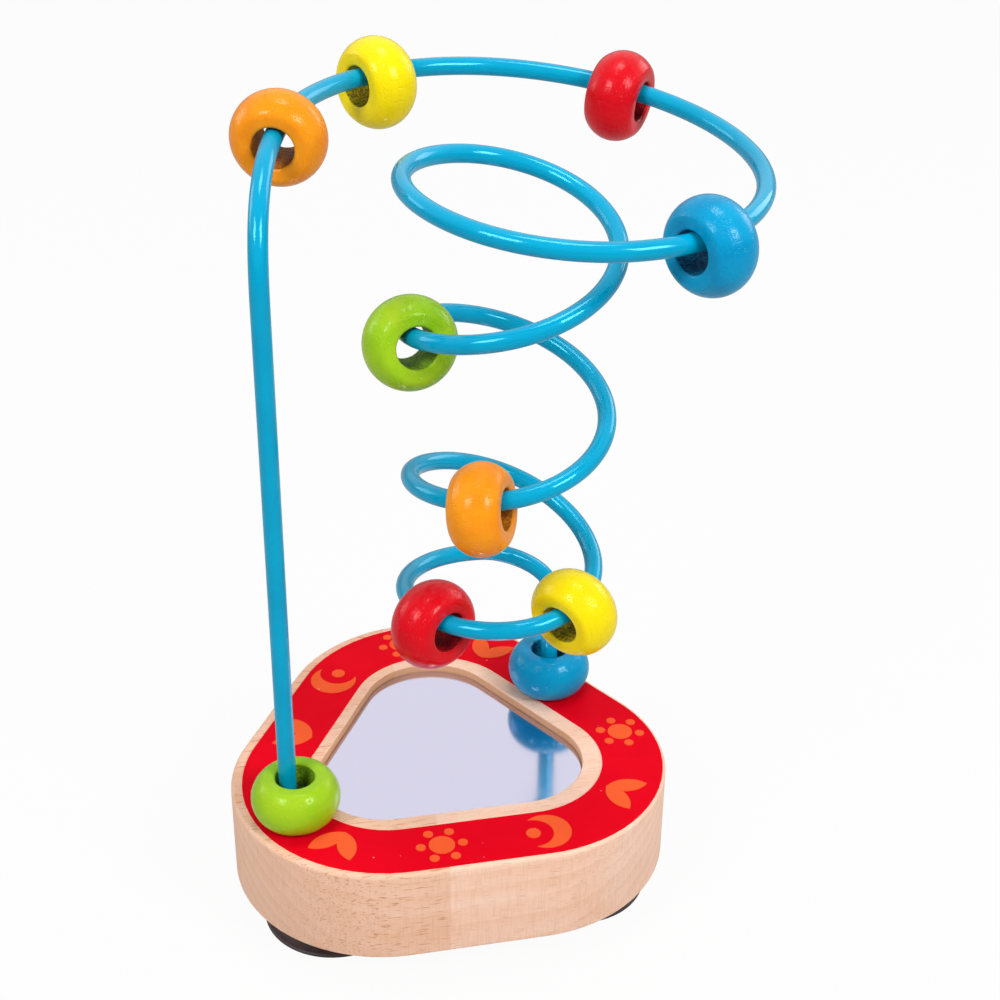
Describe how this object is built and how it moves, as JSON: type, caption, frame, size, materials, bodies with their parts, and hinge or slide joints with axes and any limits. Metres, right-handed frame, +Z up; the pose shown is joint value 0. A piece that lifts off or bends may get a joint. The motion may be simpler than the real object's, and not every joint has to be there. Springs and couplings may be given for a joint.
{
  "type": "bead maze",
  "caption": "Wooden bead maze: a coiled blue wire with loose painted beads on a rounded three-cornered base with a mirror, on suction cups.",
  "frame": {"origin": "on the table, in the plane of the suction cups' lips, under the middle of the three-cornered base", "axes": "+Z up, +Y towards the corner of the base at the back, +X to the right as seen from the front"},
  "size_m": [0.1438, 0.1175, 0.2282],
  "materials": {
    "bare_wood": "matt",
    "red_print": "printed ink",
    "orange_print": "printed ink",
    "foam_pad": "matt",
    "mirror": "polished",
    "blue_coat": "glossy plastic coat",
    "green_paint": "semi-gloss paint",
    "orange_paint": "semi-gloss paint",
    "yellow_paint": "semi-gloss paint",
    "red_paint": "semi-gloss paint",
    "blue_paint": "semi-gloss paint",
    "rubber": "matt",
    "steel": "zinc plated"
  },
  "bodies": {
    "base": {"base_block": "bare_wood", "top_print": "red_print", "print_motifs": "orange_print", "mirror_pad": "foam_pad", "mirror_plate": "mirror", "wire": "blue_coat", "suction_cup_left": "rubber", "suction_cup_right": "rubber", "suction_cup_back": "rubber", "cup_screws": "steel"},
    "green_post_bead_body": {"green_post_bead": "green_paint"},
    "orange_bend_bead_body": {"orange_bend_bead": "orange_paint"},
    "yellow_loop_bead_body": {"yellow_loop_bead": "yellow_paint"},
    "red_loop_bead_body": {"red_loop_bead": "red_paint"},
    "blue_loop_bead_body": {"blue_loop_bead": "blue_paint"},
    "green_coil_bead_body": {"green_coil_bead": "green_paint"},
    "orange_coil_bead_body": {"orange_coil_bead": "orange_paint"},
    "red_coil_bead_body": {"red_coil_bead": "red_paint"},
    "yellow_coil_bead_body": {"yellow_coil_bead": "yellow_paint"},
    "blue_tail_bead_body": {"blue_tail_bead": "blue_paint"}
  },
  "joints": [
    {"name": "green_post_bead_slide", "type": "slide", "parent": "base", "child": "green_post_bead_body", "axis": [0, 0, 1], "range_m": [0, 0.115]},
    {"name": "orange_bend_bead_travel", "type": "hinge", "parent": "base", "child": "orange_bend_bead_body", "pos_m": [-0.01366, 0.01159, 0.14994], "axis": [0.882, -0.3568, 0.3079], "range_deg": [-4, 16]},
    {"name": "yellow_loop_bead_travel", "type": "hinge", "parent": "base", "child": "yellow_loop_bead_body", "pos_m": [0.02111, -0.00214, 0.21236], "axis": [0.0684, -0.0791, 0.9945], "range_deg": [-12, 20]},
    {"name": "red_loop_bead_travel", "type": "hinge", "parent": "base", "child": "red_loop_bead_body", "pos_m": [0.02157, -0.00189, 0.21111], "axis": [0.0854, -0.0975, 0.9916], "range_deg": [-25, 31]},
    {"name": "blue_loop_bead_travel", "type": "hinge", "parent": "base", "child": "blue_loop_bead_body", "pos_m": [0.03298, 0.00012, 0.20761], "axis": [0.0309, -0.0874, 0.9957], "range_deg": [-24, 58]},
    {"name": "green_coil_bead_travel", "type": "hinge", "parent": "base", "child": "green_coil_bead_body", "pos_m": [0.01648, -0.00857, 0.16984], "axis": [0.0456, 0.2028, 0.9782], "range_deg": [-56, 16]},
    {"name": "orange_coil_bead_travel", "type": "hinge", "parent": "base", "child": "orange_coil_bead_body", "pos_m": [0.01602, -0.00777, 0.13308], "axis": [-0.1344, 0.0975, 0.9861], "range_deg": [-54, 11]},
    {"name": "red_coil_bead_travel", "type": "hinge", "parent": "base", "child": "red_coil_bead_body", "pos_m": [0.01653, -0.00614, 0.09168], "axis": [0.0679, 0.1263, 0.9897], "range_deg": [-58, 13]},
    {"name": "yellow_coil_bead_travel", "type": "hinge", "parent": "base", "child": "yellow_coil_bead_body", "pos_m": [0.01419, -0.00871, 0.10197], "axis": [-0.0155, -0.2143, 0.9766], "range_deg": [-16, 24]},
    {"name": "blue_tail_bead_slide", "type": "slide", "parent": "base", "child": "blue_tail_bead_body", "axis": [0, 0, 1], "range_m": [0, 0.015]}
  ]
}
